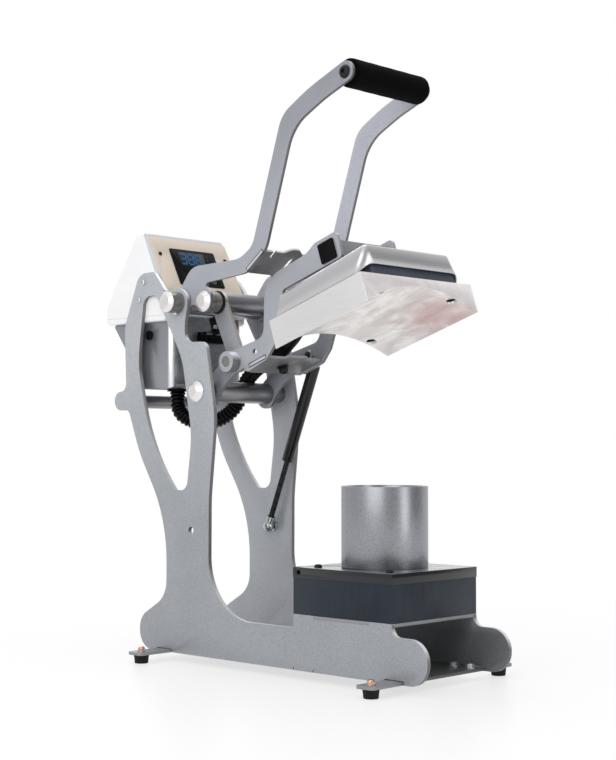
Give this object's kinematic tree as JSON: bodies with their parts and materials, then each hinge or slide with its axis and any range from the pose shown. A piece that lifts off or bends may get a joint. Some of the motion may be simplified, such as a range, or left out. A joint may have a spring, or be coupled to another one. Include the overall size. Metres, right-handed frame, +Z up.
{
  "type": "ball heat press",
  "caption": "Bench-top clamshell heat press with a concave heated platen on a toggle arm over a pipe pedestal that holds a ball",
  "frame": {"origin": "on the floor under the middle of the bounding box", "axes": "+X to the machine's right-hand plate as seen from the operator's front, +Y to the back where the console is, +Z up"},
  "size_m": [0.285, 0.628, 0.8088],
  "materials": {
    "coated_steel": "satin fine metallic powder coat",
    "pan_steel": "satin powder coat",
    "slate_coat": "satin",
    "lid_coat": "satin",
    "pipe_steel": "turned",
    "shaft_steel": "ground",
    "collar_steel": "turned",
    "chrome": "polished",
    "zinc": "zinc plated",
    "copper_zinc": "plated",
    "black_screw": "black oxide",
    "platen_aluminium": "milled",
    "stainless_sheet": "brushed",
    "element_steel": "heat tinted",
    "insulation": "matte",
    "rubber": "matte",
    "foam": "closed-cell foam",
    "black_plastic": "satin",
    "hose_plastic": "gloss",
    "console_paint": "satin",
    "panel_cream": "satin",
    "overlay_black": "gloss",
    "board_green": "matte",
    "key_grey": "satin",
    "rocker_red": "gloss",
    "box_paint": "satin",
    "spring_black": "gloss"
  },
  "bodies": {
    "stand": {"side_plate_left": "coated_steel", "side_plate_right": "coated_steel", "base_pan": "pan_steel", "deck_plate": "pan_steel", "rubber_feet": "rubber", "base_bolts": "copper_zinc", "base_block": "slate_coat", "block_lid": "lid_coat", "lid_screws": "black_screw", "pedestal_tube": "pipe_steel", "pedestal_bolt": "zinc", "handle_shaft": "shaft_steel", "shaft_collars": "collar_steel", "collar_screws": "black_screw", "shaft_caps": "chrome", "arm_shaft": "shaft_steel", "rear_cross_bar": "pan_steel", "power_box": "box_paint", "box_fittings": "black_plastic", "limit_switch": "black_plastic", "console_shell": "console_paint", "console_panel": "panel_cream", "display_overlay": "overlay_black", "control_board": "board_green", "panel_screws": "black_screw", "console_bolts": "zinc", "power_inlet": "black_plastic", "conduit": "hose_plastic", "spring_stud_lower": "zinc"},
    "handle": {"handle_plate_left": "coated_steel", "handle_plate_right": "coated_steel", "handle_brace": "coated_steel", "grip_rod": "shaft_steel", "grip_foam": "foam", "grip_bolts": "black_screw", "toggle_shaft": "shaft_steel", "toggle_caps": "chrome", "toggle_spacers": "shaft_steel", "toggle_washers": "rubber"},
    "link_l": {"link_left": "coated_steel"},
    "link_r": {"link_right": "coated_steel"},
    "carrier": {"arm_plate_left": "coated_steel", "arm_plate_right": "coated_steel", "platform": "coated_steel", "pivot_tube": "shaft_steel", "cross_tube": "pan_steel", "tube_plugs": "black_plastic", "heat_platen": "platen_aluminium", "heating_element": "element_steel", "insulation_block": "insulation", "platen_cover": "stainless_sheet", "platen_screws": "zinc", "arm_bolts": "zinc"},
    "spring_rod": {"gas_rod": "shaft_steel"},
    "spring_cylinder": {"gas_cylinder": "spring_black"},
    "lever": {"switch_lever": "zinc"},
    "key_l": {"key_left": "key_grey"},
    "key_m": {"key_middle": "key_grey"},
    "key_r": {"key_right": "key_grey"},
    "rocker": {"power_rocker": "rocker_red"}
  },
  "joints": [
    {"name": "handle_swing", "type": "hinge", "parent": "stand", "child": "handle", "pos_m": [0, 0.144, 0.509], "axis": [1, 0, 0], "range_deg": [0, 46.57], "stiffness_Nm_per_rad": 12, "springref_deg": -68.75},
    {"name": "carrier_swing", "type": "hinge", "parent": "stand", "child": "carrier", "pos_m": [0, 0.1043, 0.3815], "axis": [1, 0, 0], "range_deg": [0, 18.31], "deforming": ["conduit"]},
    {"name": "link_left_swing", "type": "hinge", "parent": "handle", "child": "link_l", "pos_m": [-0.048, 0.097, 0.50884], "axis": [1, 0, 0], "range_deg": [-64.82, 0]},
    {"name": "link_right_swing", "type": "hinge", "parent": "handle", "child": "link_r", "pos_m": [0.048, 0.097, 0.50884], "axis": [1, 0, 0], "range_deg": [-64.82, 0]},
    {"name": "spring_swing", "type": "hinge", "parent": "stand", "child": "spring_rod", "pos_m": [0.068, 0.1145, 0.186], "axis": [1, 0, 0], "range_deg": [0, 5.37]},
    {"name": "spring_slide", "type": "slide", "parent": "spring_rod", "child": "spring_cylinder", "axis": [0, -0.3736, 0.9276], "range_m": [-0.02312, 0]},
    {"name": "lever_press", "type": "hinge", "parent": "stand", "child": "lever", "pos_m": [-0.018, 0.1665, 0.4704], "axis": [0, 1, 0], "range_deg": [0, 4], "stiffness_Nm_per_rad": 0.05, "springref_deg": -5.73},
    {"name": "key_l_press", "type": "slide", "parent": "stand", "child": "key_l", "axis": [0, 0.8957, -0.4446], "range_m": [0, 0.0008], "stiffness_N_per_m": 400, "springref_m": -0.0006},
    {"name": "key_m_press", "type": "slide", "parent": "stand", "child": "key_m", "axis": [0, 0.8957, -0.4446], "range_m": [0, 0.0008], "stiffness_N_per_m": 400, "springref_m": -0.0006},
    {"name": "key_r_press", "type": "slide", "parent": "stand", "child": "key_r", "axis": [0, 0.8957, -0.4446], "range_m": [0, 0.0008], "stiffness_N_per_m": 400, "springref_m": -0.0006},
    {"name": "rocker_tip", "type": "hinge", "parent": "stand", "child": "rocker", "pos_m": [0.014, 0.267, 0.414], "axis": [1, 0, 0], "range_deg": [-12, 0]}
  ],
  "couplings": [
    {"joint": "carrier_swing", "follows": "handle_swing", "ratio": 0.39302},
    {"joint": "link_left_swing", "follows": "handle_swing", "ratio": -1.3916},
    {"joint": "link_right_swing", "follows": "handle_swing", "ratio": -1.3916},
    {"joint": "spring_swing", "follows": "handle_swing", "ratio": 0.11521},
    {"joint": "spring_slide", "follows": "handle_swing", "m_per_rad": -0.028429}
  ]
}
